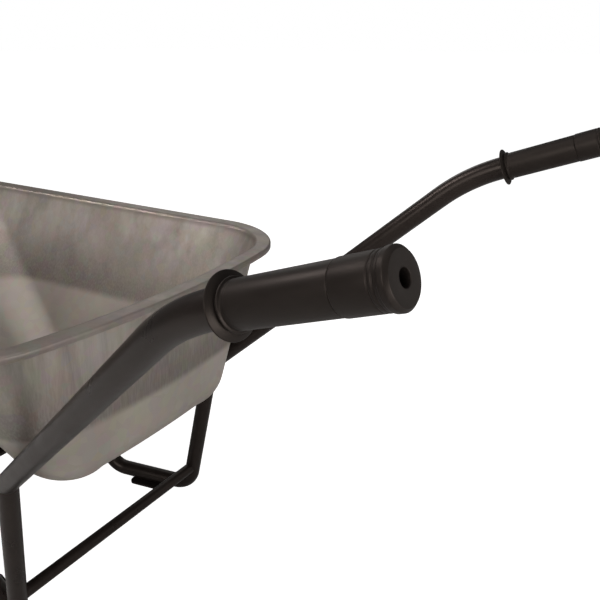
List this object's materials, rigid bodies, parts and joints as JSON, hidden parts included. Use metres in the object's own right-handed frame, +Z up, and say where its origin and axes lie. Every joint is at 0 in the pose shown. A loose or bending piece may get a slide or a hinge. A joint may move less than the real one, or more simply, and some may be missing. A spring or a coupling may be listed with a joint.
{
  "type": "wheelbarrow",
  "caption": "Single-wheel builder's wheelbarrow with a deep pressed steel tray on a bent tube frame, moulded grips and an air-filled wheel.",
  "frame": {"origin": "on the ground, under the middle of the whole object's length and width", "axes": "+X forward to the wheel, +Y to the left of whoever pushes it, +Z up"},
  "size_m": [1.4501, 0.6536, 0.7428],
  "materials": {
    "galvanised_steel": "satin galvanised sheet with soft vertical streaks",
    "black_paint": "satin black powder coat",
    "grip_plastic": "satin black moulded plastic",
    "tyre_rubber": "matt black tyre rubber",
    "tube_rubber": "smooth black rubber",
    "rim_paint": "satin black paint on pressed steel",
    "nylon": "natural nylon",
    "black_plastic": "matt black plastic",
    "zinc_plated_steel": "bright zinc plating"
  },
  "bodies": {
    "frame": {"axle": "zinc_plated_steel", "axle_nuts": "zinc_plated_steel", "axle_washers": "zinc_plated_steel", "bracket_bolts": "zinc_plated_steel", "bracket_nuts": "zinc_plated_steel", "cross_bar_bolts": "zinc_plated_steel", "cross_bar_nuts": "zinc_plated_steel", "front_cross_bar": "black_paint", "hoop_bolts": "zinc_plated_steel", "hoop_nuts": "zinc_plated_steel", "left_axle_bracket": "black_paint", "left_axle_spacer": "zinc_plated_steel", "left_foot_plate": "black_paint", "left_front_stay": "black_paint", "left_grip": "grip_plastic", "left_handle_tube": "black_paint", "left_leg": "black_paint", "leg_brace": "black_paint", "nose_hoop": "black_paint", "rear_cross_bar": "black_paint", "right_axle_bracket": "black_paint", "right_axle_spacer": "zinc_plated_steel", "right_foot_plate": "black_paint", "right_front_stay": "black_paint", "right_grip": "grip_plastic", "right_handle_tube": "black_paint", "right_leg": "black_paint", "stay_bolts": "zinc_plated_steel", "stay_nuts": "zinc_plated_steel", "tray": "galvanised_steel", "tray_bolts": "zinc_plated_steel", "tray_nuts": "zinc_plated_steel", "tray_washers": "zinc_plated_steel", "tube_end_plugs": "black_plastic"},
    "wheel": {"wheel_hub": "rim_paint", "left_wheel_bush": "nylon", "right_wheel_bush": "nylon", "left_rim_half": "rim_paint", "right_rim_half": "rim_paint", "rim_bolts": "zinc_plated_steel", "rim_nuts": "zinc_plated_steel", "tyre": "tyre_rubber", "inner_tube": "tube_rubber", "valve_stem": "tube_rubber", "valve_cap": "black_plastic"}
  },
  "joints": [
    {"name": "wheel_spin", "type": "hinge", "parent": "frame", "child": "wheel", "pos_m": [0.49, 0, 0.185], "axis": [0, 1, 0], "continuous": true}
  ]
}
